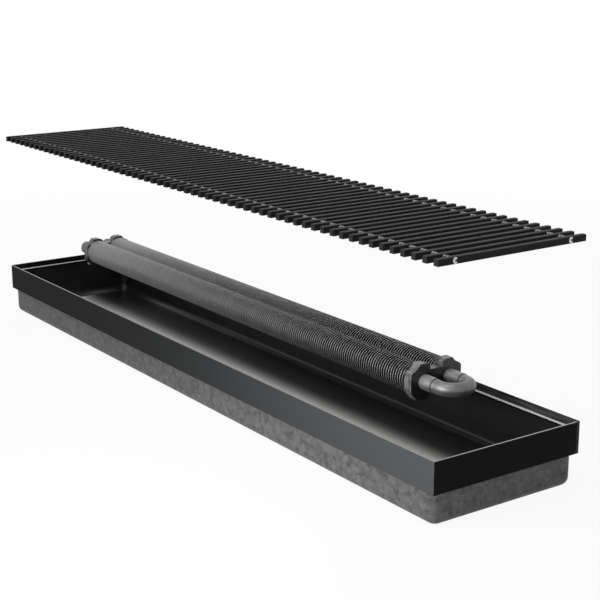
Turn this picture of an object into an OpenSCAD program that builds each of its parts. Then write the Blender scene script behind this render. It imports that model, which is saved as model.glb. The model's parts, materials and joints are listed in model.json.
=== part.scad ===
// Trench convector heater: a pressed tray sunk in the floor, an aluminium frame round its rim,
// a finned two-tube heating coil and a roll-up bar grille.
// The coil and the grille are drawn lifted out, as they are shown for fitting.
// Frame: +X along the length towards the return bend, +Y towards the wall side that the coil
// stands on, +Z up. The origin is the middle of the tray's underside.

/* [Overall] */
// Length over the frame's end rails
heater_l = 1005; // [900:5:1600]
// Width over the frame's long rails
heater_w = 200; // [190:1:300]
// Height from the tray's underside to the rim
heater_h = 72.5; // [70:0.5:110]

/* [Frame] */
// Thickness of the rail's upright web
rim_t = 1.2; // [1:0.1:1.4]
// Height of the rail's outer face
band_h = 36; // [34:0.5:44]
// Depth of the recess that takes the grille
recess_d = 8; // [7.6:0.1:9.2]
// Width of the ledge that the grille rests on
ledge_w = 7; // [6.4:0.1:9]
// Thickness of the ledge
ledge_t = 2; // [1.5:0.1:2.4]
// Thickness of the rail's bottom lip
lip_t = 1.6; // [1.2:0.1:2.2]
// Height of the solid rib that takes the frame screws
port_h = 5.2; // [4.8:0.1:6]
// Depth of that rib's middle below the rim
port_drop = 14; // [13.4:0.1:15]

/* [Corner keys] */
// Length of each leg of a corner key
key_leg = 34; // [24:1:40]
// Thickness of a corner key
key_t = 1.5; // [1:0.1:1.6]
// Gap above a key in the rail's chamber
key_clear = 0.1; // [0.05:0.05:0.3]

/* [Tray and trough] */
// Set-back of the tray's wall from the frame's outer face
tray_inset = 3; // [2.8:0.1:3.4]
// Sheet thickness of the outer tray
tray_t = 0.8; // [0.6:0.1:1]
// Upright corner radius of the outer tray
tray_corner_r = 12; // [11.5:0.5:18]
// Radius of the outer tray's bottom edge
tray_base_r = 10; // [7:0.5:10.5]
// Gap between the walls of the tray and the trough
trough_gap = 0.2; // [0.1:0.05:0.3]
// Sheet thickness of the inner trough
trough_t = 0.8; // [0.6:0.1:1]
// Radius of the trough's bottom edge
trough_base_r = 10.4; // [8:0.1:10.8]
// Thickness of the mat between the floors of the tray and the trough
mat_t = 3.8; // [2:0.1:5]
// Set-back of that mat from the tray's bottom edge
mat_gap = 2; // [1:0.5:20]

/* [Frame screws] */
// Shank diameter of a frame screw
screw_d = 2.9; // [2.5:0.1:3.2]
// Head diameter of a frame screw
screw_head_d = 6; // [5.2:0.1:6.4]
// Height of the screw's domed head
screw_head_h = 2; // [1.6:0.1:2.4]
// Clearance round a screw in the sheets
screw_clear = 0.1; // [0.05:0.05:0.2]
// Place of the end walls' screw across the width
end_screw_y = 30; // [0:1:40]

/* [Entry plugs] */
// Largest diameter of the two pipe entries in the left end wall
entry_d = 18; // [14:0.5:22]
// Least distance from a plug to the trough's bottom edge and to the frame
entry_margin = 0.6; // [0.3:0.1:1]
// Place across the width of the middle between the two entries
entry_y = -57; // [-62:1:-50]
// Distance between the two entries
entry_spacing = 30; // [27:1:36]
// Width of a plug's flange beyond its hole
plug_flange_w = 1; // [0.8:0.1:1.2]
// Thickness of a plug's flanges
plug_flange_t = 1; // [0.8:0.1:1.5]
// Clearance round a plug's neck
plug_clear = 0.1; // [0.05:0.05:0.2]

/* [Rest strips] */
// Width of the damping strips on the ledge
strip_w = 3.8; // [3:0.1:6.2]
// Thickness of the strips
strip_t = 0.5; // [0.3:0.1:0.8]
// Distance from the ledge's inner edge to a strip
strip_edge_gap = 0.4; // [0.2:0.1:0.6]
// Gap between the ends of the short strips and the long ones
strip_end_gap = 0.5; // [0.3:0.1:1]

/* [Grille] */
// Width of a grille bar
bar_w = 6.5; // [5:0.1:7]
// Height of a grille bar
bar_h = 7; // [6.6:0.1:7.4]
// Chamfer along a bar's upper edges
bar_chamfer = 0.6; // [0.3:0.1:1]
// Distance from bar to bar that is aimed at
bar_pitch_aim = 16.45; // [15:0.05:20]
// Gap between a bar's end and the frame's web
grille_side_gap = 0.3; // [0.2:0.1:0.8]
// Gap between the grille and each end rail's web
grille_end_gap = 2.3; // [2:0.1:5]
// Diameter of the coiled springs that carry the bars
spring_d = 5.6; // [4.6:0.1:5.8]
// Distance from a bar's end to the middle of a spring
spring_inset = 21.5; // [12:0.5:40]
// Radial clearance of a spring in a bar's hole
spring_clear = 0.05; // [0.02:0.01:0.1]
// Gap between two lengths of spring where the grille rolls up
link_gap = 0.15; // [0.1:0.05:0.3]
// Height of the lifted grille above its seat
grille_raise = 200.5; // [180:0.5:260]

/* [Spring ends] */
// Diameter of the washer on a spring's end
washer_d = 6.3; // [5.9:0.1:6.5]
// Thickness of that washer
washer_t = 0.8; // [0.6:0.1:1.2]
// Shank diameter of the screw in a spring's end
pin_d = 2.4; // [2:0.1:2.8]
// Length of that screw in the spring
pin_l = 6; // [3:0.5:7]
// Radial clearance of that screw
pin_clear = 0.05; // [0.02:0.01:0.1]

/* [Coil] */
// Place of the coil's middle across the width
coil_y = 31.5; // [24:0.5:34]
// Height of the lifted coil above its seat
coil_raise = 65.7; // [62:0.1:90]
// Outer diameter of the coil's tubes, 5/8 inch
tube_d = 15.9; // [14:0.1:16]
// Wall of the tubes
tube_t = 0.8; // [0.6:0.1:1]
// Distance between the two tubes
tube_spacing = 36; // [35.8:0.1:37]
// Radius of a fin round each tube
fin_r = 17.7; // [16:0.1:17.8]
// Thickness of a fin
fin_t = 0.5; // [0.3:0.05:0.8]
// Distance from fin to fin that is aimed at
fin_pitch_aim = 4.06; // [3.6:0.02:8]
// Half height of the fins' neck between the two tubes
neck_half_h = 9; // [6:0.5:11]
// Wall of the collars that space the fins
collar_t = 0.5; // [0.4:0.05:0.8]
// Radial clearance of a tube in the fins and end brackets
tube_clear = 0.05; // [0.02:0.01:0.1]
// Distance from the right end rail to the close end bracket's face
coil_right_gap = 151.5; // [140:0.5:180]
// Distance from the left end rail to the first fin
coil_left_gap = 72.5; // [70:0.5:90]

/* [End brackets] */
// Thickness of an end bracket
bracket_t = 11.5; // [8:0.5:12]
// Half height of an end bracket
bracket_half_h = 20.5; // [19:0.5:23]
// Reach of an end bracket beyond each tube's axis
bracket_reach = 18; // [16.5:0.5:20]
// Gap between the fins and each end bracket
bracket_gap = 0.5; // [0.2:0.1:1]
// Height that the bracket's feet clear the trough's floor by
bracket_foot_gap = 0.1; // [0.05:0.05:0.3]

/* [Return bend] */
// Wall of the tubes' belled sockets
socket_t = 0.7; // [0.5:0.1:1]
// Length of the front socket beyond the end bracket
front_socket_l = 19.4; // [14:0.1:21]
// Length of the rear socket beyond the end bracket
rear_socket_l = 23.4; // [20:0.1:26]
// Depth that the bend goes into a socket
socket_depth = 11; // [8:0.5:11.5]
// Radial clearance of the bend in a socket
socket_clear = 0.05; // [0.02:0.01:0.1]
// Straight stretch of the bend outside the rear socket
bend_leg = 3.6; // [1:0.1:12]

/* [Connections] */
// Length of the tail's socket round a tube's end
tail_socket_l = 8; // [7:0.5:10]
// Wall of that socket
tail_wall = 1.4; // [1.2:0.1:1.6]
// Outer radius of the tail's neck
neck_r = 6.2; // [5.8:0.1:6.4]
// Bore radius of the tail
tail_bore_r = 5; // [4.5:0.1:5.2]
// Length of the neck, collar included
neck_l = 11; // [9:0.5:14]
// Radius of the collar that holds the nut
collar_r = 7.2; // [7:0.05:7.3]
// Thickness of that collar
collar_l = 2; // [1.5:0.1:2.5]
// Thickness of the sealing ring
gasket_t = 1.5; // [1:0.1:2]
// Bore radius of the nut's G 3/8 thread
thread_r = 7.5; // [7.45:0.05:7.6]
// Depth of that thread
thread_l = 7.5; // [7:0.5:9]
// Outer radius of the union nut
nut_r = 9.5; // [9.2:0.1:10.5]
// Thickness of the nut's back wall
nut_back_t = 2.5; // [2:0.1:3]
// Radial clearance of the nut on the neck
nut_clear = 0.08; // [0.04:0.01:0.1]
// Radius of a grip flute in the nut
flute_r = 1; // [0.7:0.1:1.2]

/* [Air vent] */
// Radius of the vent's boss on the return tail
vent_r = 4.2; // [3.8:0.1:4.6]
// Height of the boss above the tube's axis
vent_h = 12.5; // [12:0.5:14]
// Shank radius of the bleed screw
bleed_r = 2.5; // [2:0.1:2.8]
// Radial clearance of the bleed screw
bleed_clear = 0.08; // [0.04:0.01:0.1]
// Height of the bleed screw's head
bleed_head_h = 2.5; // [2:0.5:4]

/* [Hidden] */
$fn = 48;

// Overrun of every cut beyond the face that it opens
over = 1;

// Heights of the frame and the sheets under its ledge
ledge_z = heater_h - recess_d;
sheet_top = ledge_z - ledge_t;
band_z = heater_h - band_h;
port_z = heater_h - port_drop;
ledge_edge = rim_t + ledge_w;

// Outer sizes of the two pressed sheets
tray_l = heater_l - 2 * tray_inset;
tray_w = heater_w - 2 * tray_inset;
trough_inset = tray_t + trough_gap;
trough_l = tray_l - 2 * trough_inset;
trough_w = tray_w - 2 * trough_inset;
wall_stack = trough_inset + trough_t;
trough_z = tray_t + mat_t;
floor_z = trough_z + trough_t;

// Frame screws along the long walls, as shares of the length
screw_x_shares = [-0.3, 0, 0.3];
// Shank end of a frame screw, left short of the frame's outer face
screw_face_gap = 0.6;
screw_l = wall_stack + tray_inset - screw_face_gap;
// Cross slot in a screw's head, as shares of the head
slot_w_share = 0.16;
slot_l_share = 0.62;
slot_depth_share = 0.4;

// Pipe entries, in the flat stretch of wall between the trough's bottom edge and the frame
entry_low = trough_z + trough_base_r;
entry_z = (entry_low + band_z) / 2;
entry_fit_d = min(entry_d, band_z - entry_low - 2 * (plug_flange_w + entry_margin));

// Grille
bar_l = heater_w - 2 * (rim_t + grille_side_gap);
grille_l = heater_l - 2 * (rim_t + grille_end_gap);
bar_gaps = round((grille_l - bar_w) / bar_pitch_aim);
bar_pitch = (grille_l - bar_w) / bar_gaps;
bar_count = bar_gaps + 1;
grille_z = ledge_z + strip_t + grille_raise;
bar_mid_z = grille_z + bar_h / 2;
spring_y = bar_l / 2 - spring_inset;
spring_r = spring_d / 2;
roll_count = 12;
fixed_count = bar_count - roll_count;

// Coil
coil_seat_z = floor_z + bracket_foot_gap + bracket_half_h;
coil_z = coil_seat_z + coil_raise;
near_face_x = heater_l / 2 - coil_right_gap;
fins_near_x = near_face_x - bracket_t - bracket_gap;
fins_far_x = coil_left_gap - heater_l / 2;
far_face_x = fins_far_x - bracket_gap - bracket_t;
fins_l = fins_near_x - fins_far_x;
fin_gaps = round((fins_l - fin_t) / fin_pitch_aim);
fin_pitch = (fins_l - fin_t) / fin_gaps;
tube_r = tube_d / 2;
tube_bore_r = tube_r + tube_clear;
half_spacing = tube_spacing / 2;

// Sockets and bend
bell_r = tube_r + socket_clear + socket_t;
bell_start_gap = 0.5;
bell_cone_l = 1.5;
bend_centre_x = near_face_x + rear_socket_l + bend_leg;

// Tails, nuts and gaskets, measured from the far bracket's outer face
tail_x = far_face_x - bracket_gap;
tail_r = tube_bore_r + tail_wall;
tube_end_x = tail_x - tail_socket_l + tail_wall;
neck_x = tail_x - tail_socket_l;
collar_x = neck_x - neck_l;
gasket_x = collar_x - gasket_t;
nut_mouth_x = gasket_x - thread_l;
nut_play = 1.5;
nut_step_x = collar_x + collar_l + nut_play;
thread_clear = 0.3;
undercut_r = thread_r + thread_clear;
flute_count = 16;
vent_x = nut_step_x + nut_back_t + bracket_gap + vent_r;
vent_root_share = 0.35;
bleed_seat = vent_h - tube_r - tail_wall;
bleed_head_share = 1.3;
bleed_slot_share = 0.4;

// Outline of an end bracket's lobe, from the tube's axis, outwards and upwards.
// Shares of the reach and of the half height, from the upper notch's floor round to the foot;
// the upper outer corner steps down over a small ridge.
lobe_shares = [
  [-0.5, 0.61], [-0.483, 0.88], [-0.194, 1], [0.3, 1], [0.411, 0.873], [0.5, 0.79],
  [0.561, 0.654], [0.606, 0.727], [0.661, 0.727], [0.722, 0.629], [0.867, 0.639],
  [0.911, 0.561], [1, 0.517], [1, -0.532], [0.511, -1], [-0.306, -1]
];
// Floor of the lower notch between the lobes, as shares of the half spacing and the half height
notch_w_share = 0.24;
notch_base_share = -0.6;

// Pressed pan with rounded upright corners and a rounded bottom edge
module pan(l, w, h, corner_r, base_r) {
  run_l = l - 2 * corner_r;
  run_w = w - 2 * corner_r;
  translate([-run_l / 2, -run_w / 2, 0]) cube([run_l, run_w, h]);
  for (s = [0, 1]) {
    rotate([0, 0, 180 * s]) {
      translate([run_l / 2, run_w / 2, 0]) rotate([90, 0, -90])
        linear_extrude(run_l) mirror([1, 0]) pan_edge(h, corner_r, base_r);
      translate([run_l / 2, run_w / 2, 0]) rotate([90, 0, 0])
        linear_extrude(run_w) pan_edge(h, corner_r, base_r);
      translate([run_l / 2, run_w / 2, 0])
        rotate_extrude(angle = 90) pan_edge(h, corner_r, base_r);
      translate([-run_l / 2, run_w / 2, 0]) rotate([0, 0, 90])
        rotate_extrude(angle = 90) pan_edge(h, corner_r, base_r);
    }
  }
}

// Section of the pan's edge, from the inside out
module pan_edge(h, corner_r, base_r) {
  square([corner_r - base_r, h]);
  translate([corner_r - base_r, base_r]) square([base_r, h - base_r]);
  intersection() {
    translate([corner_r - base_r, base_r]) circle(base_r);
    translate([corner_r - base_r, 0]) square([base_r, base_r]);
  }
}

// Places of the frame screws on the walls' inner faces: position and turn about Z
function screw_places() = concat(
  [for (s = [-1, 1], share = screw_x_shares)
    [[share * heater_l, s * (trough_w / 2 - trough_t), port_z], s * 90]],
  [for (s = [-1, 1])
    [[s * (trough_l / 2 - trough_t), end_screw_y, port_z], s < 0 ? 180 : 0]]
);

// Puts its child at each frame screw, with +X pointing out through the wall
module at_frame_screws() {
  for (place = screw_places())
    translate(place[0]) rotate([0, 0, place[1]]) children();
}

module screw_hole(r, reach) {
  translate([-over, 0, 0]) rotate([0, 90, 0]) cylinder(r = r, h = reach + over);
}

module at_entries() {
  for (s = [-1, 1])
    translate([-tray_l / 2, entry_y + s * entry_spacing / 2, entry_z]) rotate([0, 90, 0])
      children();
}

module entry_holes() {
  at_entries() translate([0, 0, -over]) cylinder(d = entry_fit_d, h = wall_stack + 2 * over);
}

module outer_tray() {
  color("#6e7072") difference() {
    pan(tray_l, tray_w, sheet_top, tray_corner_r, tray_base_r);
    translate([0, 0, tray_t])
      pan(tray_l - 2 * tray_t, tray_w - 2 * tray_t, sheet_top, tray_corner_r - tray_t,
        tray_base_r - tray_t);
    at_frame_screws() screw_hole(screw_d / 2 + screw_clear, wall_stack + over);
    entry_holes();
  }
}

// Mat that lies between the two floors
module base_mat() {
  mat_l = tray_l - 2 * (tray_base_r + mat_gap);
  mat_w = tray_w - 2 * (tray_base_r + mat_gap);
  color("#2b2b2c") translate([-mat_l / 2, -mat_w / 2, tray_t]) cube([mat_l, mat_w, mat_t]);
}

module inner_trough() {
  corner_r = tray_corner_r - trough_inset;
  color("#1c1c1d") difference() {
    translate([0, 0, trough_z])
      pan(trough_l, trough_w, sheet_top - trough_z, corner_r, trough_base_r);
    translate([0, 0, floor_z])
      pan(trough_l - 2 * trough_t, trough_w - 2 * trough_t, sheet_top, corner_r - trough_t,
        trough_base_r - trough_t);
    at_frame_screws() screw_hole(screw_d / 2 + screw_clear, wall_stack + over);
    entry_holes();
  }
}

// Section of a frame rail: distance in from its outer face, and height
module rail_section() {
  polygon([
    [0, band_z], [0, heater_h], [rim_t, heater_h], [rim_t, ledge_z], [ledge_edge, ledge_z],
    [ledge_edge, sheet_top], [rim_t, sheet_top],
    [rim_t, port_z + port_h / 2], [tray_inset, port_z + port_h / 2],
    [tray_inset, port_z - port_h / 2], [rim_t, port_z - port_h / 2],
    [rim_t, band_z + lip_t], [tray_inset, band_z + lip_t], [tray_inset, band_z]
  ]);
}

// Mitred rail along X with its outer face at y = 0
module rail(l) {
  mitre = ledge_edge + over;
  intersection() {
    translate([-l / 2, 0, 0]) rotate([90, 0, 90]) linear_extrude(l) rail_section();
    translate([0, 0, band_z - over]) linear_extrude(band_h + 2 * over)
      polygon([[-l / 2, 0], [l / 2, 0], [l / 2 - mitre, mitre], [mitre - l / 2, mitre]]);
  }
}

// A rail on one side of the frame, with its screw holes
module frame_rail(turn, l, reach) {
  color("#33373a") difference() {
    rotate([0, 0, turn]) translate([0, -reach, 0]) rail(l);
    at_frame_screws() screw_hole(screw_d / 2 + screw_clear, screw_l + screw_face_gap / 2);
  }
}

module front_rail() { frame_rail(0, heater_l, heater_w / 2); }
module rear_rail() { frame_rail(180, heater_l, heater_w / 2); }
module left_rail() { frame_rail(-90, heater_w, heater_l / 2); }
module right_rail() { frame_rail(90, heater_w, heater_l / 2); }

// Angle that joins two rails inside their chamber
module corner_key() {
  key_z = band_z + lip_t;
  key_h = port_z - port_h / 2 - key_z - key_clear;
  translate([rim_t, rim_t, key_z]) {
    cube([key_leg, key_t, key_h]);
    cube([key_t, key_leg, key_h]);
  }
}

module corner_keys() {
  color("#8c8f92") for (sx = [0, 1], sy = [0, 1])
    mirror([sx, 0, 0]) mirror([0, sy, 0])
      translate([-heater_l / 2, -heater_w / 2, 0]) corner_key();
}

// Domed screw along X, its head's seat at x = 0 and its shank towards +X
module frame_screw() {
  head_r = screw_head_d / 2;
  dome_r = (head_r * head_r + screw_head_h * screw_head_h) / (2 * screw_head_h);
  difference() {
    union() {
      rotate([0, 90, 0]) cylinder(d = screw_d, h = screw_l);
      intersection() {
        translate([dome_r - screw_head_h, 0, 0]) sphere(dome_r);
        translate([-screw_head_h - over, 0, 0]) rotate([0, 90, 0])
          cylinder(r = head_r + over, h = screw_head_h + over);
      }
    }
    for (a = [0, 90]) rotate([a, 0, 0])
      translate([-screw_head_h - over, -slot_w_share * screw_head_d / 2,
        -slot_l_share * screw_head_d / 2])
        cube([over + slot_depth_share * screw_head_h, slot_w_share * screw_head_d,
          slot_l_share * screw_head_d]);
  }
}

module frame_screws() {
  color("#d8dadb") at_frame_screws() frame_screw();
}

// Rubber blanking plug with a flange on each side of the two sheets
module entry_plug() {
  flange_r = entry_fit_d / 2 + plug_flange_w;
  translate([0, 0, -plug_flange_t]) cylinder(r = flange_r, h = plug_flange_t);
  cylinder(r = entry_fit_d / 2 - plug_clear, h = wall_stack);
  translate([0, 0, wall_stack]) cylinder(r = flange_r, h = plug_flange_t);
}

module entry_plugs() {
  color("#141414") at_entries() entry_plug();
}

// Damping strips along the ledge, on which the bars rest; the short ones lie between the long ones
module rest_strips() {
  inner_edge = ledge_edge - strip_edge_gap;
  outer_edge = inner_edge - strip_w;
  long_l = heater_l - 2 * outer_edge;
  short_l = heater_w - 2 * (inner_edge + strip_end_gap);
  color("#b9bab8") for (s = [0, 1]) rotate([0, 0, 180 * s]) {
    translate([-long_l / 2, outer_edge - heater_w / 2, ledge_z])
      cube([long_l, strip_w, strip_t]);
    translate([outer_edge - heater_l / 2, -short_l / 2, ledge_z])
      cube([strip_w, short_l, strip_t]);
  }
}

// Puts its child on the front (-1) or rear (1) tube's axis
module on_tube(side) {
  translate([0, coil_y + side * half_spacing, coil_z]) children();
}

module fin_outline() {
  for (s = [-1, 1]) translate([s * half_spacing, 0]) circle(fin_r);
  square([tube_spacing, 2 * neck_half_h], center = true);
}

// Two-lobed fins on collars, joined along the tubes as one pack
module fin_pack() {
  gap_w = fin_pitch - fin_t;
  cut_w = tube_spacing + 2 * fin_r + 2 * over;
  cut_h = 2 * fin_r + 2 * over;
  color("#77797b") difference() {
    union() {
      difference() {
        translate([fins_far_x, coil_y, coil_z]) rotate([90, 0, 90])
          linear_extrude(fins_l) fin_outline();
        for (i = [0:fin_gaps - 1])
          translate([fins_far_x + fin_t + i * fin_pitch, coil_y - cut_w / 2, coil_z - cut_h / 2])
            cube([gap_w, cut_w, cut_h]);
      }
      for (s = [-1, 1]) on_tube(s) translate([fins_far_x, 0, 0]) rotate([0, 90, 0])
        cylinder(r = tube_bore_r + collar_t, h = fins_l);
    }
    for (s = [-1, 1]) on_tube(s) translate([fins_far_x - over, 0, 0]) rotate([0, 90, 0])
      cylinder(r = tube_bore_r, h = fins_l + 2 * over);
  }
}

// Tube through the fins with a belled socket at the return end
module coil_tube(socket_l) {
  bore_r = tube_r - tube_t;
  bell_x = near_face_x + bell_start_gap;
  socket_end_x = near_face_x + socket_l;
  difference() {
    union() {
      translate([tube_end_x, 0, 0]) rotate([0, 90, 0])
        cylinder(r = tube_r, h = bell_x - tube_end_x);
      translate([bell_x, 0, 0]) rotate([0, 90, 0])
        cylinder(r1 = tube_r, r2 = bell_r, h = bell_cone_l);
      translate([bell_x + bell_cone_l, 0, 0]) rotate([0, 90, 0])
        cylinder(r = bell_r, h = socket_end_x - bell_x - bell_cone_l);
    }
    translate([tube_end_x - over, 0, 0]) rotate([0, 90, 0])
      cylinder(r = bore_r, h = socket_end_x - tube_end_x + 2 * over);
    translate([socket_end_x - socket_depth, 0, 0]) rotate([0, 90, 0])
      cylinder(r = tube_r + socket_clear, h = socket_depth + over);
  }
}

module front_tube() { color("#8b8d8f") on_tube(-1) coil_tube(front_socket_l); }
module rear_tube() { color("#8b8d8f") on_tube(1) coil_tube(rear_socket_l); }

// Solid of the return bend at a radius, its legs lengthened by some overrun
module bend_solid(r, extra) {
  leg = bend_leg + socket_depth + extra;
  front_extra = rear_socket_l - front_socket_l;
  rotate([0, 0, -90]) rotate_extrude(angle = 180) translate([half_spacing, 0]) circle(r);
  translate([-leg, half_spacing, 0]) rotate([0, 90, 0]) cylinder(r = r, h = leg);
  translate([-leg - front_extra, -half_spacing, 0]) rotate([0, 90, 0])
    cylinder(r = r, h = leg + front_extra);
}

module return_bend() {
  color("#8b8d8f") translate([bend_centre_x, coil_y, coil_z]) difference() {
    bend_solid(tube_r, 0);
    bend_solid(tube_r - tube_t, over);
  }
}

// Points of an end bracket's rear half, from the upper notch round to the lower one
function bracket_half() = concat(
  [for (p = lobe_shares) [half_spacing + p[0] * bracket_reach, p[1] * bracket_half_h]],
  [[notch_w_share * half_spacing, notch_base_share * bracket_half_h]]
);

// Two-lobed end bracket with stepped shoulders, standing on its flat feet
module end_bracket() {
  half = bracket_half();
  last = len(half) - 1;
  outline = concat(half, [for (i = [last:-1:0]) [-half[i][0], half[i][1]]]);
  difference() {
    rotate([90, 0, 90]) linear_extrude(bracket_t) polygon(outline);
    for (s = [-1, 1]) translate([-over, s * half_spacing, 0]) rotate([0, 90, 0])
      cylinder(r = tube_bore_r, h = bracket_t + 2 * over);
  }
}

module near_bracket() {
  color("#26282a") translate([near_face_x - bracket_t, coil_y, coil_z]) end_bracket();
}

module far_bracket() {
  color("#26282a") translate([far_face_x, coil_y, coil_z]) end_bracket();
}

// Connection tail: socket, neck and collar along -X
module tail() {
  translate([neck_x, 0, 0]) rotate([0, 90, 0]) cylinder(r = tail_r, h = tail_socket_l);
  translate([collar_x, 0, 0]) rotate([0, 90, 0]) cylinder(r = neck_r, h = neck_l);
  translate([collar_x, 0, 0]) rotate([0, 90, 0]) cylinder(r = collar_r, h = collar_l);
}

module tail_bores() {
  translate([collar_x - over, 0, 0]) rotate([0, 90, 0])
    cylinder(r = tail_bore_r, h = tail_x - collar_x);
  translate([tube_end_x, 0, 0]) rotate([0, 90, 0])
    cylinder(r = tube_bore_r, h = tail_x - tube_end_x + over);
}

module supply_tail() {
  color("#9a9c9e") on_tube(-1) difference() {
    tail();
    tail_bores();
  }
}

module return_tail() {
  color("#9a9c9e") on_tube(1) difference() {
    union() {
      tail();
      translate([vent_x, 0, vent_root_share * tube_r])
        cylinder(r = vent_r, h = vent_h - vent_root_share * tube_r);
    }
    tail_bores();
    translate([vent_x, 0, 0]) cylinder(r = bleed_r + bleed_clear, h = vent_h + over);
  }
}

module union_gaskets() {
  color("#303234") for (s = [-1, 1]) on_tube(s) translate([gasket_x, 0, 0]) rotate([0, 90, 0])
    difference() {
      cylinder(r = collar_r, h = gasket_t);
      translate([0, 0, -over]) cylinder(r = tail_bore_r, h = gasket_t + 2 * over);
    }
}

// Union nut with grip flutes, its threaded mouth towards -X
module union_nut() {
  nut_l = nut_step_x + nut_back_t - nut_mouth_x;
  translate([nut_mouth_x, 0, 0]) rotate([0, 90, 0]) difference() {
    cylinder(r = nut_r, h = nut_l);
    translate([0, 0, -over]) cylinder(r = neck_r + nut_clear, h = nut_l + 2 * over);
    translate([0, 0, -over]) cylinder(r = thread_r, h = thread_l + 2 * over);
    translate([0, 0, thread_l]) cylinder(r = undercut_r, h = nut_step_x - gasket_x);
    for (i = [0:flute_count - 1]) rotate([0, 0, i * 360 / flute_count])
      translate([nut_r + flute_r / 2, 0, -over]) cylinder(r = flute_r, h = nut_l + 2 * over);
  }
}

module supply_nut() { color("#7c7e80") on_tube(-1) union_nut(); }
module return_nut() { color("#7c7e80") on_tube(1) union_nut(); }

module bleed_screw() {
  head_r = bleed_head_share * bleed_r;
  color("#b9a46a") on_tube(1) translate([vent_x, 0, vent_h]) difference() {
    union() {
      translate([0, 0, -bleed_seat]) cylinder(r = bleed_r, h = bleed_seat);
      cylinder(r = head_r, h = bleed_head_h);
    }
    translate([-head_r - over, -bleed_slot_share * bleed_r / 2, bleed_head_h / 2])
      cube([2 * head_r + 2 * over, bleed_slot_share * bleed_r, bleed_head_h]);
  }
}

function bar_x(i) = (bar_w - grille_l) / 2 + i * bar_pitch;
function hinge_x(k) = bar_x(fixed_count - 1 + k) - bar_pitch / 2;

// One grille bar across the trench, drilled for the two springs
module bar(i) {
  translate([bar_x(i), 0, grille_z]) difference() {
    rotate([90, 0, 0]) translate([0, 0, -bar_l / 2]) linear_extrude(bar_l) polygon([
      [-bar_w / 2, 0], [bar_w / 2, 0], [bar_w / 2, bar_h - bar_chamfer],
      [bar_w / 2 - bar_chamfer, bar_h], [bar_chamfer - bar_w / 2, bar_h],
      [-bar_w / 2, bar_h - bar_chamfer]
    ]);
    for (s = [-1, 1]) translate([-bar_w / 2 - over, s * spring_y, bar_h / 2])
      rotate([0, 90, 0]) cylinder(r = spring_r + spring_clear, h = bar_w + 2 * over);
  }
}

module grille_bars() {
  color("#1b1b1c") for (i = [0:fixed_count - 1]) bar(i);
}

// Blind hole in a spring's end for its screw, at the grille's left (-1) or right (1) end
module pin_hole(side) {
  translate([side * (grille_l / 2 - pin_l), 0, 0]) rotate([0, side * 90, 0])
    cylinder(d = pin_d + 2 * pin_clear, h = pin_l + over);
}

// Round hollow in a spring's end, which turns about the next length's ball at hinge k
module hinge_hollow(k) {
  hollow_l = spring_d + 2 * over;
  translate([hinge_x(k), hollow_l / 2, 0]) rotate([90, 0, 0])
    cylinder(r = spring_r + link_gap, h = hollow_l);
}

// Long spring of the flat stretch, from the left end to the first hinge
module long_spring(side) {
  translate([0, side * spring_y, bar_mid_z]) difference() {
    translate([-grille_l / 2, 0, 0]) rotate([0, 90, 0])
      cylinder(r = spring_r, h = hinge_x(1) + grille_l / 2);
    hinge_hollow(1);
    pin_hole(-1);
  }
}

module front_spring() { color("#6f7274") long_spring(-1); }
module rear_spring() { color("#6f7274") long_spring(1); }

// Washers and screws on the springs' ends, at the grille's left (-1) or right (1) end
module end_washers(side) {
  for (s = [-1, 1]) translate([side * grille_l / 2, s * spring_y, bar_mid_z])
    rotate([0, side * 90, 0]) difference() {
      cylinder(d = washer_d, h = washer_t);
      translate([0, 0, -over]) cylinder(d = pin_d + 2 * pin_clear, h = washer_t + 2 * over);
    }
}

module end_pins(side) {
  for (s = [-1, 1]) translate([side * grille_l / 2, s * spring_y, bar_mid_z])
    rotate([0, side * 90, 0]) translate([0, 0, -pin_l])
      cylinder(d = pin_d, h = pin_l + washer_t / 2);
}

module far_washers() { color("#d8dadb") end_washers(-1); }
module far_pins() { color("#9fa2a5") end_pins(-1); }
module near_washers() { color("#d8dadb") end_washers(1); }
module near_pins() { color("#9fa2a5") end_pins(1); }

// Bar k of the stretch that rolls up, with its two lengths of spring
module roll_bar(k) {
  start_x = hinge_x(k);
  last = k == roll_count;
  end_x = last ? grille_l / 2 : hinge_x(k + 1);
  color("#1b1b1c") bar(fixed_count - 1 + k);
  color("#6f7274") for (s = [-1, 1]) translate([0, s * spring_y, bar_mid_z]) difference() {
    union() {
      translate([start_x, 0, 0]) rotate([0, 90, 0]) cylinder(r = spring_r, h = end_x - start_x);
      translate([start_x, 0, 0]) sphere(spring_r);
    }
    if (last) pin_hole(1);
    else hinge_hollow(k + 1);
  }
}

outer_tray();
base_mat();
inner_trough();
front_rail();
rear_rail();
left_rail();
right_rail();
corner_keys();
frame_screws();
entry_plugs();
rest_strips();
fin_pack();
front_tube();
rear_tube();
return_bend();
near_bracket();
far_bracket();
supply_tail();
return_tail();
union_gaskets();
supply_nut();
return_nut();
bleed_screw();
grille_bars();
front_spring();
rear_spring();
far_washers();
far_pins();
roll_bar(1);  // roll_bar_01
roll_bar(2);  // roll_bar_02
roll_bar(3);  // roll_bar_03
roll_bar(4);  // roll_bar_04
roll_bar(5);  // roll_bar_05
roll_bar(6);  // roll_bar_06
roll_bar(7);  // roll_bar_07
roll_bar(8);  // roll_bar_08
roll_bar(9);  // roll_bar_09
roll_bar(10);  // roll_bar_10
roll_bar(11);  // roll_bar_11
roll_bar(12);  // roll_bar_12
near_washers();
near_pins();
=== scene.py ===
"""Looks of the trench convector heater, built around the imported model. Lengths are in metres."""
import json
import math

import bpy
from mathutils import Matrix, Vector


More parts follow.
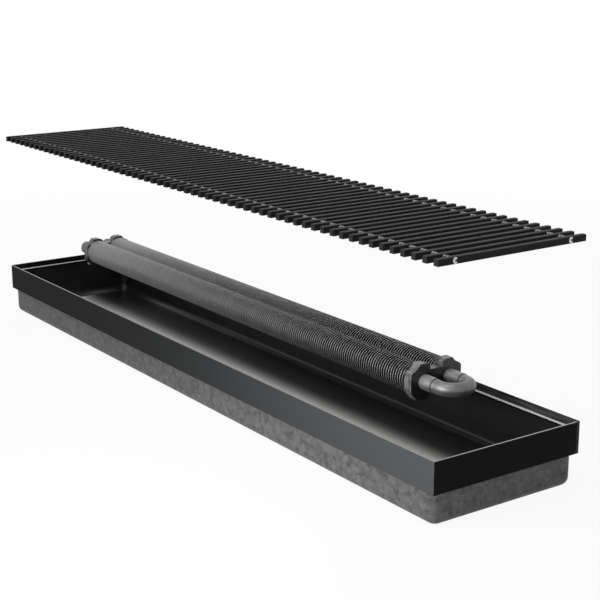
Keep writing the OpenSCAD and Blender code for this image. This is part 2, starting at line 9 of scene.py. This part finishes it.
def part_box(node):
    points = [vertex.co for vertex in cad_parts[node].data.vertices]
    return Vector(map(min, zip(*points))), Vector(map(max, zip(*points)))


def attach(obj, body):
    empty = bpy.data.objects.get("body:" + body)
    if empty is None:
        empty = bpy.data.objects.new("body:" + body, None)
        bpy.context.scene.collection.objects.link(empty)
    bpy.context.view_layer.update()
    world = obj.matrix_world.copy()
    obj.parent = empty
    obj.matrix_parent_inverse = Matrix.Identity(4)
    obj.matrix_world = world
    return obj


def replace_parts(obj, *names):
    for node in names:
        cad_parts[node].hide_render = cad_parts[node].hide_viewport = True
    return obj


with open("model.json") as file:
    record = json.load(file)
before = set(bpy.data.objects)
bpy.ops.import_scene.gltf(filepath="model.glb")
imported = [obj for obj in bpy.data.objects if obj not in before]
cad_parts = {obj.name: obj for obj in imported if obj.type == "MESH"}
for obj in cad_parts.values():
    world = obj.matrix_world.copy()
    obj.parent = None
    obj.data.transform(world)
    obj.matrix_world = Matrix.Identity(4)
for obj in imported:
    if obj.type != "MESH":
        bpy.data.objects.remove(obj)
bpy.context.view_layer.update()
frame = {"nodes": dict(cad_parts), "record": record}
scene = bpy.context.scene
SLOT_OF = {part["node"]: part["material_slot"] for part in frame["record"]["subparts"]}
JOINTS = {joint["name"]: joint for joint in frame["record"]["behaviour"]["joints"]}

# Camera, solved from the photograph's rim lines
CAM_PLACE = Vector((1.44497, -0.91911, 0.56574))
CAM_AZIMUTH = math.radians(54.976)
CAM_ELEVATION = math.radians(14.916)
CAM_ROLL = -0.00133
SENSOR = 36.0
FOCAL_PIXELS = 1369.92
FRAME_PIXELS = 600
VIEW_NEAR = 0.05
VIEW_FAR = 60

# Floor, reaching past the top of the picture
FLOOR_HALF = 16.0
FLOOR_COLOUR = 0.8
WHITE_NEAR = 0.93
WHITE_FROM = 0.8
WHITE_FULL = 1.8

# Soft lamps: place, aim, width, height, power; the back panel adds no gloss
LAMPS = {
    "back_panel": ((-1.8, 1.25, 0.75), (0.1, 0.0, 0.02), 1.4, 0.7, 12.0),
    "top_panel": ((0.0, -0.4, 1.5), (0.0, 0.0, 0.1), 1.0, 0.8, 10.0),
    "front_panel": ((0.35, -0.55, 0.25), (0.42, 0.0, 0.06), 0.3, 0.2, 2.0),
}
AMBIENT = 0.25

# Rim of the frame, its bright upper edge, the front rail's outer face, painted lighter towards the
# near end as painted light, and the lined outer part of the rear rail, whose lighter tone is
# painted light
RIM_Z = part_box("front_rail")[1][2]
RIM_EDGE_DEPTH = 0.0003
RIM_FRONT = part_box("front_rail")[0][1]
RIM_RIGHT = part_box("front_rail")[1][0]
REAR_DEPTH = 0.004
REAR_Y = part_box("rear_rail")[1][1] - REAR_DEPTH

# Painted sheen along the trough's floor, up to a height above its underside: a pale band of base
# colour that stands in for a reflection
PAINTED_SHEEN_Y = 0.016
PAINTED_SHEEN_REACH = 0.031
PAINTED_SHEEN_HALF_LENGTH = 0.45
PAINTED_SHEEN_HEIGHT = 0.002
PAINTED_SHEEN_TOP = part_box("inner_trough")[0][2] + PAINTED_SHEEN_HEIGHT

# Stretch of the fins that is painted paler towards the far end, and darker towards the near end as
# painted shade between the fins
FIN_PALE_X = -0.4
FIN_DARK_X = 0.2

# Stretch over which the tubes are painted darker towards the bend, as painted shade
SOCKET_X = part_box("near_bracket")[1][0]
BEND_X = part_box("return_bend")[1][0]

# Axis and radius of the front spring. The bars' look paints the short lengths of spring as steel
# within the skin about that radius, and leaves their flush end face dark
SPRING_LOW, SPRING_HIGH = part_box("front_spring")
SPRING_R = (SPRING_HIGH[2] - SPRING_LOW[2]) / 2
SPRING_Y = (SPRING_HIGH[1] + SPRING_LOW[1]) / 2
SPRING_Z = (SPRING_HIGH[2] + SPRING_LOW[2]) / 2
SPRING_SKIN = 0.00002
SPRING_END_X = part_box("roll_bar_12")[1][0]
SPRING_END_DEPTH = 0.0001

# Turns of the springs between the bars
BAR_HALF = 0.00325
WIRE_R = 0.00055
WIRE_PROUD = 0.00015
TURN_PITCH = 0.00125
TURN_POINTS = 12
WIRE_SIDES = 6
HINGE_REACH = 0.0031
ROLL_COUNT = 12

# Open clip rings: inner radius, opening, and the rounded outline across the wire
CLIP_INNER_R = 0.0014
CLIP_OPENING = math.radians(110)
CLIP_STEPS = 8
CLIP_FLANK = 0.25

# Braze rings turned about the X axis, as (distance along X, radius)
BRAZE_SECTION = ((-0.0002, 0.0079), (-0.0002, 0.0084), (0.0003, 0.0085), (0.0009, 0.0083),
                 (0.0012, 0.0079))
RING_SIDES = 48

# Small rounds on sharp edges
RAIL_ROUND = 0.00025
BRACKET_ROUND = 0.0004
ROUND_ANGLE = math.radians(40)
ROUND_SEGMENTS = 2

# Tints over a grey
COOL = (0.96, 1.0, 1.04)
WARM = (1.03, 1.0, 0.96)
PALE = (1.0, 1.0, 0.98)
BROWNISH = (1.0, 0.95, 0.9)
TAIL = (1.0, 0.98, 0.95)
BRASS = (1.2, 0.95, 0.55)

# Greys of the springs' steel
STEEL_LOW = 0.14
STEEL_HIGH = 0.24


def colour(grey, tint=(1.0, 1.0, 1.0)):
    """Linear colour of a grey with a tint."""
    return (grey * tint[0], grey * tint[1], grey * tint[2], 1.0)


class Look:
    """Procedural material built from object coordinates in metres."""

    def __init__(self, slot, metallic=0.0, specular=0.5):
        self.material = bpy.data.materials.new("look_" + slot)
        self.material.use_nodes = True
        self.tree = self.material.node_tree
        self.shader = self.tree.nodes["Principled BSDF"]
        self.shader.inputs["Metallic"].default_value = metallic
        self.shader.inputs["Specular IOR Level"].default_value = specular
        self.place = self.node("ShaderNodeTexCoord").outputs["Object"]
        self.normal = None

    def node(self, kind, **inputs):
        made = self.tree.nodes.new(kind)
        for name, value in inputs.items():
            self.feed(made.inputs[name.replace("_", " ")], value)
        return made

    def feed(self, socket, value):
        if isinstance(value, bpy.types.NodeSocket):
            self.tree.links.new(value, socket)
        else:
            socket.default_value = value

    def stretched(self, along):
        """Object coordinates scaled unevenly, so that a pattern runs along an axis."""
        return self.node("ShaderNodeMapping", Vector=self.place, Scale=along).outputs["Vector"]

    def noise(self, size, detail=3.0, along=None):
        """Noise whose features measure about size."""
        place = self.stretched(along) if along else self.place
        made = self.node("ShaderNodeTexNoise", Vector=place, Scale=1.0 / size, Detail=detail)
        return made.outputs["Fac"]

    def spangle(self, size):
        """Crystal-like cells, each with a grey of its own."""
        made = self.node("ShaderNodeTexVoronoi", Vector=self.place, Scale=1.0 / size)
        split = self.node("ShaderNodeSeparateColor", Color=made.outputs["Color"])
        return split.outputs["Red"]

    def blend(self, first, second, share):
        """Weighted middle of two patterns."""
        made = self.tree.nodes.new("ShaderNodeMix")
        made.data_type = "FLOAT"
        self.feed(made.inputs["Factor"], share)
        self.feed(made.inputs["A"], first)
        self.feed(made.inputs["B"], second)
        return made.outputs["Result"]

    def tone(self, pattern, low, high, start=0.3, end=0.7):
        """Base colour that runs from low to high with the pattern."""
        ramp = self.node("ShaderNodeValToRGB", Fac=pattern)
        ramp.color_ramp.elements[0].position = start
        ramp.color_ramp.elements[0].color = low
        ramp.color_ramp.elements[1].position = end
        ramp.color_ramp.elements[1].color = high
        self.feed(self.shader.inputs["Base Color"], ramp.outputs["Color"])
        return ramp.outputs["Color"]

    def rough(self, pattern, low, high):
        """Roughness that runs from low to high with the pattern."""
        span = self.node("ShaderNodeMapRange", Value=pattern, From_Min=0.3, From_Max=0.7,
                         To_Min=low, To_Max=high)
        self.feed(self.shader.inputs["Roughness"], span.outputs["Result"])

    def along(self, axis, full, none):
        """Mask that falls from 1 to 0 between two places along an axis."""
        split = self.node("ShaderNodeSeparateXYZ", Vector=self.place)
        made = self.node("ShaderNodeMapRange", Value=split.outputs[axis], From_Min=none,
                         From_Max=full)
        return made.outputs["Result"]

    def facing_along(self):
        """1 on the faces that look along X, otherwise 0."""
        normal = self.node("ShaderNodeTexCoord").outputs["Normal"]
        split = self.node("ShaderNodeSeparateXYZ", Vector=normal)
        size = self.node("ShaderNodeMath")
        size.operation = "ABSOLUTE"
        self.feed(size.inputs[0], split.outputs["X"])
        made = self.node("ShaderNodeMath")
        made.operation = "GREATER_THAN"
        self.feed(made.inputs[0], size.outputs["Value"])
        made.inputs[1].default_value = 0.5
        return made.outputs["Value"]

    def above(self, height):
        """1 where the surface lies above a height, otherwise 0."""
        split = self.node("ShaderNodeSeparateXYZ", Vector=self.place)
        made = self.node("ShaderNodeMath")
        made.operation = "GREATER_THAN"
        self.feed(made.inputs[0], split.outputs["Z"])
        made.inputs[1].default_value = height
        return made.outputs["Value"]

    def on_springs(self):
        """1 on the lengths of spring that share a node with their bar, otherwise 0."""
        split = self.node("ShaderNodeSeparateXYZ", Vector=self.place)
        size = self.node("ShaderNodeMath")
        size.operation = "ABSOLUTE"
        self.feed(size.inputs[0], split.outputs["Y"])
        across = self.node("ShaderNodeCombineXYZ", Y=size.outputs["Value"],
                           Z=split.outputs["Z"])
        away = self.node("ShaderNodeVectorMath")
        away.operation = "DISTANCE"
        self.feed(away.inputs[0], across.outputs["Vector"])
        away.inputs[1].default_value = (0.0, abs(SPRING_Y), SPRING_Z)
        made = self.node("ShaderNodeMath")
        made.operation = "LESS_THAN"
        self.feed(made.inputs[0], away.outputs["Value"])
        made.inputs[1].default_value = SPRING_R + SPRING_SKIN
        return made.outputs["Value"]

    def over(self, where, below, above):
        """Lays one colour over another where the mask is 1."""
        made = self.tree.nodes.new("ShaderNodeMix")
        made.data_type = "RGBA"
        self.feed(made.inputs["Factor"], where)
        self.feed(made.inputs["A"], below)
        self.feed(made.inputs["B"], above)
        self.feed(self.shader.inputs["Base Color"], made.outputs["Result"])
        return made.outputs["Result"]

    def bump(self, pattern, depth, strength=1.0):
        """Relief of a depth, laid over the relief made so far."""
        made = self.node("ShaderNodeBump", Height=pattern, Distance=depth, Strength=strength)
        if self.normal:
            self.feed(made.inputs["Normal"], self.normal)
        self.normal = made.outputs["Normal"]
        self.feed(self.shader.inputs["Normal"], self.normal)


def galvanised_sheet():
    look = Look("galvanised_sheet", metallic=0.15, specular=0.25)
    cells = look.spangle(0.005)
    cloud = look.noise(0.009, 4.0)
    fine = look.noise(0.0022, 3.0)
    mottle = look.blend(look.blend(cells, cloud, 0.7), fine, 0.3)
    look.tone(mottle, colour(0.055), colour(0.19, (1.0, 1.0, 0.99)))
    look.rough(cells, 0.45, 0.6)
    look.bump(fine, 0.00006, 0.5)
    look.bump(cells, 0.00003, 0.4)
    return look


def black_enamel():
    look = Look("black_enamel", specular=0.5)
    cloud = look.noise(0.09, 3.0)
    peel = look.noise(0.004, 2.0)
    paint = look.tone(cloud, colour(0.007), colour(0.014, WARM))
    # The pale band laid over the floor is a painted sheen standing in for a reflection. It is paler
    # and warmer towards the near end.
    painted_light_nearer = look.along("X", PAINTED_SHEEN_HALF_LENGTH, -PAINTED_SHEEN_HALF_LENGTH)
    behind = look.along("Y", PAINTED_SHEEN_Y, PAINTED_SHEEN_Y + PAINTED_SHEEN_REACH)
    before = look.along("Y", PAINTED_SHEEN_Y, PAINTED_SHEEN_Y - PAINTED_SHEEN_REACH)
    painted_sheen = look.tone(painted_light_nearer, colour(0.85), colour(0.9, WARM), 0.0, 1.0)
    painted_sheen_band = look.blend(0.0, look.blend(0.0, behind, before), look.blend(0.0, behind, before))
    look.over(look.blend(painted_sheen_band, 0.0, look.above(PAINTED_SHEEN_TOP)), paint, painted_sheen)
    look.rough(look.noise(0.15, 2.0), 0.32, 0.38)
    look.bump(peel, 0.00002, 0.3)
    return look


def anthracite_aluminium():
    look = Look("anthracite_aluminium", specular=0.03)
    lines = look.noise(0.0011, 2.0, along=(0.02, 0.02, 1.0))
    grain = look.noise(0.0006, 2.0)
    cloud = look.noise(0.05, 3.0)
    paint = look.tone(look.blend(lines, cloud, 0.5), colour(0.007, COOL),
                      colour(0.013, COOL))
    # Painted light: the front rail's outer face is painted lighter towards the near end, where
    # light falls on it.
    painted_light_face = look.along("Y", RIM_FRONT, RIM_FRONT + RIM_EDGE_DEPTH)
    painted_light_nearer = look.along("X", RIM_RIGHT, -RIM_RIGHT)
    share = look.blend(0.0, look.blend(0.0, painted_light_nearer, painted_light_nearer), painted_light_face)
    paint = look.over(share, paint, colour(0.088, COOL))
    # The outer part of the rear rail carries fine lines as a pattern. Its lighter tone there is
    # painted light, for the light it catches.
    rear = look.along("Y", REAR_Y + RIM_EDGE_DEPTH, REAR_Y)
    grooved_painted_light = look.tone(lines, colour(0.035), colour(0.1), 0.4, 0.6)
    paint = look.over(rear, paint, grooved_painted_light)
    edge = look.blend(look.above(RIM_Z - RIM_EDGE_DEPTH), 0.0, rear)
    look.over(edge, paint, colour(0.4))
    look.feed(look.shader.inputs["Metallic"], edge)
    look.rough(cloud, 0.46, 0.54)
    look.bump(lines, 0.00002, 0.5)
    look.bump(grain, 0.00002, 0.4)
    return look


def mill_aluminium():
    look = Look("mill_aluminium", metallic=1.0)
    lines = look.noise(0.001, 2.0, along=(1.0, 1.0, 0.05))
    look.tone(lines, colour(0.5), colour(0.6))
    look.rough(lines, 0.3, 0.42)
    look.bump(lines, 0.00003, 0.5)
    return look


def zinc_screw():
    look = Look("zinc_screw", metallic=0.4)
    cloud = look.noise(0.0015, 3.0)
    look.tone(cloud, colour(0.8, PALE), colour(0.95, PALE))
    look.rough(cloud, 0.2, 0.34)
    look.bump(cloud, 0.00002, 0.4)
    return look


def black_rubber():
    look = Look("black_rubber", specular=0.35)
    grain = look.noise(0.0012, 3.0)
    look.tone(grain, colour(0.012), colour(0.02))
    look.rough(grain, 0.55, 0.7)
    look.bump(grain, 0.00004, 0.5)
    return look


def sound_mat():
    look = Look("sound_mat", specular=0.3)
    fleck = look.noise(0.003, 4.0)
    look.tone(fleck, colour(0.02), colour(0.05))
    look.rough(fleck, 0.75, 0.9)
    look.bump(fleck, 0.0003, 0.6)
    return look


def fin_grey():
    look = Look("fin_grey", metallic=0.5)
    sheets = look.noise(0.0042, 2.0, along=(1.0, 0.05, 0.05))
    cloud = look.noise(0.012, 3.0)
    # Painted light and shade: fin edges and faces are painted paler towards the far end. The faces
    # darken towards the near end as painted shade between the fins.
    painted_light_far_share = look.along("X", FIN_PALE_X, FIN_DARK_X)
    pattern = look.blend(look.blend(sheets, cloud, 0.4), painted_light_far_share, 0.7)
    edge = look.tone(painted_light_far_share, colour(0.75), colour(0.9), 0.0, 1.0)
    face = look.tone(pattern, colour(0.01), colour(0.75), 0.12, 0.9)
    look.over(look.facing_along(), edge, face)
    look.rough(cloud, 0.36, 0.5)
    look.bump(look.noise(0.0015, 2.0), 0.00003, 0.4)
    return look


def tube_grey():
    look = Look("tube_grey", metallic=0.7, specular=0.3)
    cloud = look.noise(0.012, 4.0)
    drawn = look.noise(0.0012, 2.0, along=(0.05, 1.0, 1.0))
    streaks = look.blend(cloud, drawn, 0.35)
    # Painted shade: the tubes are painted darker where they run out to the bend.
    bend = look.tone(streaks, colour(0.13), colour(0.2, PALE))
    socket = look.tone(streaks, colour(0.36), colour(0.54, PALE))
    look.over(look.along("X", SOCKET_X, BEND_X), bend, socket)
    look.rough(cloud, 0.42, 0.52)
    look.bump(drawn, 0.00002, 0.4)
    look.bump(look.noise(0.006, 2.0), 0.00006, 0.3)
    return look


def bracket_plastic():
    look = Look("bracket_plastic", specular=0.5)
    grain = look.noise(0.0009, 3.0)
    cloud = look.noise(0.006, 3.0)
    plates = look.noise(0.0016, 1.0, along=(1.0, 0.02, 0.02))
    # Painted light: the faces that don't look along X are painted lighter, as lit faces, over a
    # pattern of plates. The faces along X keep the plain black.
    face = look.tone(look.blend(grain, cloud, 0.5), colour(0.01), colour(0.018))
    painted_light_rim = look.tone(look.blend(plates, cloud, 0.5), colour(0.03), colour(0.3), 0.4, 0.6)
    look.over(look.facing_along(), painted_light_rim, face)
    look.rough(cloud, 0.28, 0.4)
    look.bump(grain, 0.00004, 0.5)
    return look


def tail_brass():
    look = Look("tail_brass", metallic=0.8)
    cloud = look.noise(0.006, 3.0)
    look.tone(cloud, colour(0.24, TAIL), colour(0.34, TAIL))
    look.rough(cloud, 0.3, 0.42)
    look.bump(look.noise(0.001, 2.0), 0.00002, 0.4)
    return look


def nut_grey():
    look = Look("nut_grey", metallic=0.5)
    cloud = look.noise(0.004, 3.0)
    look.tone(cloud, colour(0.12), colour(0.2))
    look.rough(cloud, 0.28, 0.42)
    look.bump(look.noise(0.0008, 2.0), 0.00003, 0.5)
    return look


def bleed_brass():
    look = Look("bleed_brass", metallic=1.0)
    cloud = look.noise(0.002, 3.0)
    look.tone(cloud, colour(0.42, BRASS), colour(0.52, BRASS))
    look.rough(cloud, 0.28, 0.4)
    look.bump(cloud, 0.00002, 0.4)
    return look


def bar_black():
    look = Look("bar_black", specular=0.1)
    drawn = look.noise(0.0009, 2.0, along=(1.0, 0.03, 1.0))
    cloud = look.noise(0.03, 3.0)
    wear = look.blend(drawn, cloud, 0.5)
    # Painted light: the bars are painted lighter towards the near end, standing in for the
    # highlights that fall on them there.
    far = look.tone(wear, colour(0.003), colour(0.007))
    near = look.tone(wear, colour(0.009), colour(0.02))
    paint = look.over(look.along("X", RIM_RIGHT, -RIM_RIGHT), far, near)
    steel = look.tone(wear, colour(STEEL_LOW), colour(STEEL_HIGH))
    before_end = look.along("X", SPRING_END_X - 2 * SPRING_END_DEPTH,
                            SPRING_END_X - SPRING_END_DEPTH)
    springs = look.blend(0.0, look.on_springs(), before_end)
    look.over(springs, paint, steel)
    look.feed(look.shader.inputs["Metallic"], springs)
    look.rough(cloud, 0.46, 0.54)
    look.bump(drawn, 0.00002, 0.5)
    return look


def pale_strip():
    look = Look("pale_strip", specular=0.2)
    fleck = look.noise(0.0016, 4.0)
    look.tone(fleck, colour(0.9, PALE), colour(0.97, PALE))
    look.rough(fleck, 0.55, 0.7)
    look.bump(fleck, 0.00004, 0.5)
    return look


def braze():
    look = Look("braze", metallic=0.2, specular=0.3)
    cloud = look.noise(0.003, 4.0)
    look.tone(cloud, colour(0.02), colour(0.06, BROWNISH))
    look.rough(cloud, 0.5, 0.7)
    look.bump(cloud, 0.0001, 0.6)
    return look


def spring_steel():
    look = Look("spring_steel", metallic=1.0)
    cloud = look.noise(0.003, 3.0)
    look.tone(cloud, colour(STEEL_LOW), colour(STEEL_HIGH))
    look.rough(cloud, 0.3, 0.42)
    look.bump(look.noise(0.0007, 2.0), 0.00002, 0.4)
    return look


LOOKS = {make.__name__: make().material for make in (
    galvanised_sheet, black_enamel, anthracite_aluminium, mill_aluminium, zinc_screw,
    black_rubber, sound_mat, fin_grey, tube_grey, bracket_plastic, tail_brass, nut_grey,
    bleed_brass, bar_black, pale_strip, braze, spring_steel,
)}


def dress_nodes():
    """Gives every CAD node the look of its slot."""
    for name, node in frame["nodes"].items():
        for held in node.material_slots:
            held.material = LOOKS[SLOT_OF[name]]


def soften(name, width):
    """Rounds the sharp edges of a CAD node a little, so that they catch the light."""
    rounding = frame["nodes"][name].modifiers.new("soft_edges", "BEVEL")
    rounding.width = width
    rounding.segments = ROUND_SEGMENTS
    rounding.limit_method = "ANGLE"
    rounding.angle_limit = ROUND_ANGLE
    rounding.use_clamp_overlap = True


def new_piece(name, mesh, body, slot, look=None):
    """Links a piece, dresses it and lets it ride on a body."""
    piece = bpy.data.objects.new(name, mesh)
    scene.collection.objects.link(piece)
    mesh.materials.append(LOOKS[look or slot])
    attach(piece, body)
    return piece


def turned_rings(name, section, places, opening=0.0):
    """Closed sections turned about X at each place, with an opening towards +Y."""
    corners = []
    faces = []
    count = len(section)
    for place in places:
        first = len(corners)
        for turn in range(RING_SIDES + 1):
            angle = opening / 2 + (2 * math.pi - opening) * turn / RING_SIDES
            out = Vector((0, math.cos(angle), math.sin(angle)))
            for along, radius in section:
                corners.append(Vector(place) + out * radius + Vector((along, 0, 0)))
        for turn in range(RING_SIDES):
            here = first + turn * count
            there = here + count
            for point in range(count):
                after = (point + 1) % count
                faces.append((here + point, there + point, there + after, here + after))
        faces.append(tuple(range(first, first + count)))
        faces.append(tuple(range(first + RING_SIDES * count, first + (RING_SIDES + 1) * count)))
    mesh = bpy.data.meshes.new(name)
    mesh.from_pydata(corners, [], faces)
    mesh.shade_smooth()
    return mesh


def coil_mesh(name, stretches, radius):
    """Wire wound about lines along X. A stretch is its start, its end, and the line's y and z."""
    corners = []
    faces = []
    for start, end, y, z in stretches:
        steps = int((end - start) / TURN_PITCH * TURN_POINTS)
        first = len(corners)
        for step in range(steps + 1):
            turn = 2 * math.pi * step / TURN_POINTS
            out = Vector((0, math.cos(turn), math.sin(turn)))
            middle = Vector((start + (end - start) * step / steps, y, z)) + out * radius
            for side in range(WIRE_SIDES):
                angle = 2 * math.pi * side / WIRE_SIDES
                offset = out * math.cos(angle) + Vector((1, 0, 0)) * math.sin(angle)
                corners.append(middle + offset * WIRE_R)
        for step in range(steps):
            for side in range(WIRE_SIDES):
                after = (side + 1) % WIRE_SIDES
                low = first + step * WIRE_SIDES
                high = low + WIRE_SIDES
                faces.append((low + side, low + after, high + after, high + side))
    mesh = bpy.data.meshes.new(name)
    mesh.from_pydata(corners, [], faces)
    mesh.shade_smooth()
    return mesh


def make_spring_turns():
    """Winds the visible stretches of both springs, body by body."""
    hinges = [JOINTS["roll_%02d" % k]["pos_m"][0] for k in range(1, ROLL_COUNT + 1)]
    pitch = hinges[1] - hinges[0]
    bars = [hinges[0] - pitch / 2]
    while bars[0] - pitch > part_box("grille_bars")[0][0]:
        bars.insert(0, bars[0] - pitch)
    spans = {"grille": [(a + BAR_HALF, b - BAR_HALF) for a, b in zip(bars, bars[1:])]}
    spans["grille"].append((bars[-1] + BAR_HALF, hinges[0] - HINGE_REACH))
    for k, hinge in enumerate(hinges, 1):
        bar = hinge + pitch / 2
        own = [(hinge + HINGE_REACH, bar - BAR_HALF)]
        if k < ROLL_COUNT:
            own.append((bar + BAR_HALF, hinges[k] - HINGE_REACH))
        spans["link_%02d" % k] = own
    for body, own in spans.items():
        stretches = [(a, b, side * SPRING_Y, SPRING_Z) for a, b in own for side in (-1, 1)]
        mesh = coil_mesh("turns_" + body, stretches, SPRING_R + WIRE_PROUD - WIRE_R)
        new_piece("turns_" + body, mesh, body, "spring_steel")


def make_clips():
    """Open clip rings in place of the plain washers on the springs' ends."""
    for node, body, facing in (("far_washers", "grille", -1), ("near_washers", "link_12", 1)):
        low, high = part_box(node)
        radius = (high[2] - low[2]) / 2
        thick = high[0] - low[0]
        ring_r = (radius - CLIP_INNER_R) / 2
        centre_r = (radius + CLIP_INNER_R) / 2
        section = [(0.0, radius)]
        for step in range(CLIP_STEPS + 1):
            angle = math.pi * step / CLIP_STEPS
            rise = CLIP_FLANK + (1 - CLIP_FLANK) * math.sin(angle)
            section.append((facing * thick * rise, centre_r + ring_r * math.cos(angle)))
        section.append((0.0, CLIP_INNER_R))
        seat = low[0] if facing > 0 else high[0]
        middle_z = (high[2] + low[2]) / 2
        places = [(seat, side * (high[1] - radius), middle_z) for side in (-1, 1)]
        mesh = turned_rings("clips_" + body, section, places, CLIP_OPENING)
        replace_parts(new_piece("clips_" + body, mesh, body, "zinc_screw"), node)


def make_braze_rings():
    """Dark brazed seams where the bend leaves the two sockets."""
    for node in ("front_tube", "rear_tube"):
        low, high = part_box(node)
        middle = (high[0], (low[1] + high[1]) / 2, (low[2] + high[2]) / 2)
        new_piece("braze_" + node, turned_rings("braze_" + node, BRAZE_SECTION, [middle]),
                  "coil", "tube_grey", "braze")


def make_camera():
    """Camera of the photograph."""
    back = Vector((
        math.sin(CAM_AZIMUTH) * math.cos(CAM_ELEVATION),
        -math.cos(CAM_AZIMUTH) * math.cos(CAM_ELEVATION),
        math.sin(CAM_ELEVATION),
    ))
    level = Vector((math.cos(CAM_AZIMUTH), math.sin(CAM_AZIMUTH), 0))
    upward = back.cross(level)
    right = level * math.cos(CAM_ROLL) + upward * math.sin(CAM_ROLL)
    top = upward * math.cos(CAM_ROLL) - level * math.sin(CAM_ROLL)
    lens = bpy.data.cameras.new("camera")
    lens.sensor_width = SENSOR
    lens.lens = FOCAL_PIXELS / FRAME_PIXELS * SENSOR
    lens.clip_start = VIEW_NEAR
    lens.clip_end = VIEW_FAR
    camera = bpy.data.objects.new("camera", lens)
    turned = Matrix((right, top, back)).transposed().to_4x4()
    camera.matrix_world = Matrix.Translation(CAM_PLACE) @ turned
    scene.collection.objects.link(camera)
    scene.camera = camera


def seen_directly(tree):
    """1 for camera, glossy and transmission rays, which show the white background."""
    path = tree.nodes.new("ShaderNodeLightPath")
    total = path.outputs["Is Camera Ray"]
    for name in ("Is Glossy Ray", "Is Transmission Ray"):
        larger = tree.nodes.new("ShaderNodeMath")
        larger.operation = "MAXIMUM"
        tree.links.new(total, larger.inputs[0])
        tree.links.new(path.outputs[name], larger.inputs[1])
        total = larger.outputs[0]
    return total


def make_floor():
    """White ground that takes soft shade near the object and none far from it."""
    mesh = bpy.data.meshes.new("floor")
    corners = [(x * FLOOR_HALF, y * FLOOR_HALF, 0) for x, y in ((-1, -1), (1, -1), (1, 1), (-1, 1))]
    mesh.from_pydata(corners, [], [(0, 1, 2, 3)])
    floor = bpy.data.objects.new("floor", mesh)
    scene.collection.objects.link(floor)
    material = bpy.data.materials.new("look_floor")
    material.use_nodes = True
    tree = material.node_tree
    matt = tree.nodes["Principled BSDF"]
    matt.inputs["Base Color"].default_value = colour(FLOOR_COLOUR)
    matt.inputs["Roughness"].default_value = 1.0
    matt.inputs["Specular IOR Level"].default_value = 0.0
    white = tree.nodes.new("ShaderNodeEmission")
    place = tree.nodes.new("ShaderNodeTexCoord")
    distance = tree.nodes.new("ShaderNodeVectorMath")
    distance.operation = "LENGTH"
    tree.links.new(place.outputs["Object"], distance.inputs[0])
    fade = tree.nodes.new("ShaderNodeMapRange")
    fade.interpolation_type = "SMOOTHSTEP"
    fade.inputs["From Min"].default_value = WHITE_FROM
    fade.inputs["From Max"].default_value = WHITE_FULL
    fade.inputs["To Min"].default_value = WHITE_NEAR
    tree.links.new(distance.outputs["Value"], fade.inputs["Value"])
    share = tree.nodes.new("ShaderNodeMath")
    share.operation = "MULTIPLY"
    tree.links.new(fade.outputs["Result"], share.inputs[1])
    tree.links.new(seen_directly(tree), share.inputs[0])
    mixed = tree.nodes.new("ShaderNodeMixShader")
    tree.links.new(share.outputs[0], mixed.inputs[0])
    tree.links.new(matt.outputs[0], mixed.inputs[1])
    tree.links.new(white.outputs[0], mixed.inputs[2])
    tree.links.new(mixed.outputs[0], tree.nodes["Material Output"].inputs["Surface"])
    mesh.materials.append(material)


def make_world():
    """White background with a weaker ambient light."""
    world = bpy.data.worlds.new("world")
    scene.world = world
    world.use_nodes = True
    tree = world.node_tree
    ambient = tree.nodes["Background"]
    ambient.inputs["Color"].default_value = colour(1.0)
    ambient.inputs["Strength"].default_value = AMBIENT
    white = tree.nodes.new("ShaderNodeBackground")
    white.inputs["Color"].default_value = colour(1.0)
    mixed = tree.nodes.new("ShaderNodeMixShader")
    tree.links.new(seen_directly(tree), mixed.inputs[0])
    tree.links.new(ambient.outputs[0], mixed.inputs[1])
    tree.links.new(white.outputs[0], mixed.inputs[2])
    tree.links.new(mixed.outputs[0], tree.nodes["World Output"].inputs["Surface"])


def make_lamps():
    """Soft panels that the camera doesn't see."""
    for name, (place, aim, width, height, power) in LAMPS.items():
        data = bpy.data.lights.new(name, "AREA")
        data.shape = "RECTANGLE"
        data.size = width
        data.size_y = height
        data.energy = power
        lamp = bpy.data.objects.new(name, data)
        toward = Vector(aim) - Vector(place)
        turned = toward.to_track_quat("-Z", "Y").to_matrix().to_4x4()
        lamp.matrix_world = Matrix.Translation(place) @ turned
        lamp.visible_camera = False
        lamp.visible_glossy = name != "back_panel"
        scene.collection.objects.link(lamp)


make_camera()
dress_nodes()
make_spring_turns()
make_clips()
make_braze_rings()
for rail_name in ("front_rail", "rear_rail", "left_rail", "right_rail"):
    soften(rail_name, RAIL_ROUND)
for bracket_name in ("near_bracket", "far_bracket"):
    soften(bracket_name, BRACKET_ROUND)
make_floor()
make_world()
make_lamps()
scene.view_settings.view_transform = "Standard"
